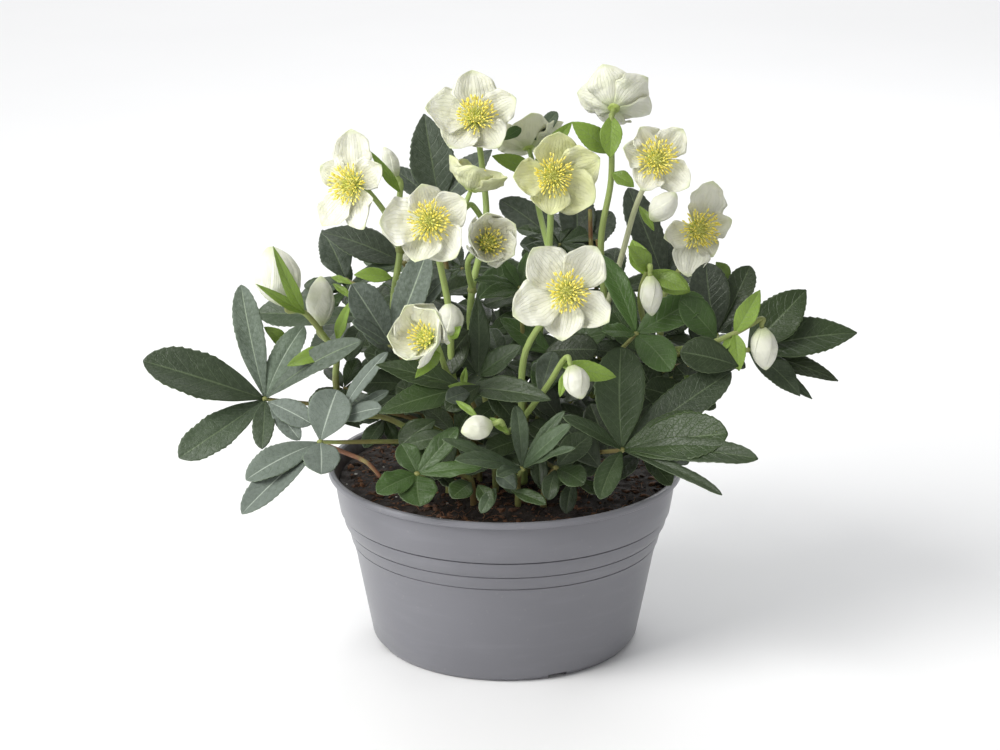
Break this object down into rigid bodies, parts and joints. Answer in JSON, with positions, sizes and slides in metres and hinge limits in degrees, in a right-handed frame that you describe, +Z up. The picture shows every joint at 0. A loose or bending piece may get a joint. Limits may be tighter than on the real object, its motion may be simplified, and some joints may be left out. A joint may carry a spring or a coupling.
{
  "type": "potted hellebore",
  "caption": "Flowering hellebore with white and cream blooms, buds and leathery divided leaves, growing in a plain round grey plastic bowl pot.",
  "frame": {"origin": "centre of the flat underside of the pot", "axes": "+Z up, -Y towards the plant's front, +X to the right seen from the front"},
  "size_m": [0.449, 0.3205, 0.3717],
  "materials": {
    "pot": "satin moulded",
    "soil": "loose compost",
    "sepals": "soft petal",
    "sepals_cream": "soft petal",
    "stamens": "powdery",
    "buds": "soft petal",
    "stems": "smooth stem",
    "leaves": "waxy leaf"
  },
  "bodies": {
    "root": {"pot": "pot", "soil": "soil", "bloom_top": "sepals", "bloom_left": "sepals", "bloom_centre": "sepals", "bloom_cream": "sepals_cream", "bloom_front": "sepals", "bloom_right": "sepals", "bloom_far_right": "sepals", "bloom_turned": "sepals", "bloom_opening": "sepals", "bloom_green": "sepals", "bloom_cup": "sepals", "bloom_behind": "sepals", "bloom_back": "sepals", "bloom_top_stamens": "stamens", "bloom_left_stamens": "stamens", "bloom_centre_stamens": "stamens", "bloom_cream_stamens": "stamens", "bloom_front_stamens": "stamens", "bloom_right_stamens": "stamens", "bloom_far_right_stamens": "stamens", "bloom_turned_stamens": "stamens", "bloom_opening_stamens": "stamens", "bloom_green_stamens": "stamens", "bloom_cup_stamens": "stamens", "bloom_behind_stamens": "stamens", "bloom_back_stamens": "stamens", "bud_left_large": "buds", "bud_left_small": "buds", "bud_front": "buds", "bud_low": "buds", "bud_hanging": "buds", "bud_under": "buds", "bud_right": "buds", "bud_top_left": "buds", "stem_left": "stems", "stem_back_left": "stems", "stem_centre": "stems", "stem_tall": "stems", "stem_cream": "stems", "stem_front": "stems", "stem_right": "stems", "stem_far_right": "stems", "leaf_left_long": "leaves", "leaf_left_grey": "leaves", "leaf_left_upper": "leaves", "leaf_back_left": "leaves", "leaf_right_upper": "leaves", "leaf_right_long": "leaves", "leaf_right_front": "leaves", "leaf_right_middle": "leaves", "leaf_centre": "leaves", "leaf_centre_right": "leaves", "leaf_front": "leaves", "leaf_front_left": "leaves", "leaf_front_right": "leaves", "leaf_back_right": "leaves", "leaf_rear_left": "leaves", "leaf_rear_right": "leaves"}
  },
  "joints": []
}
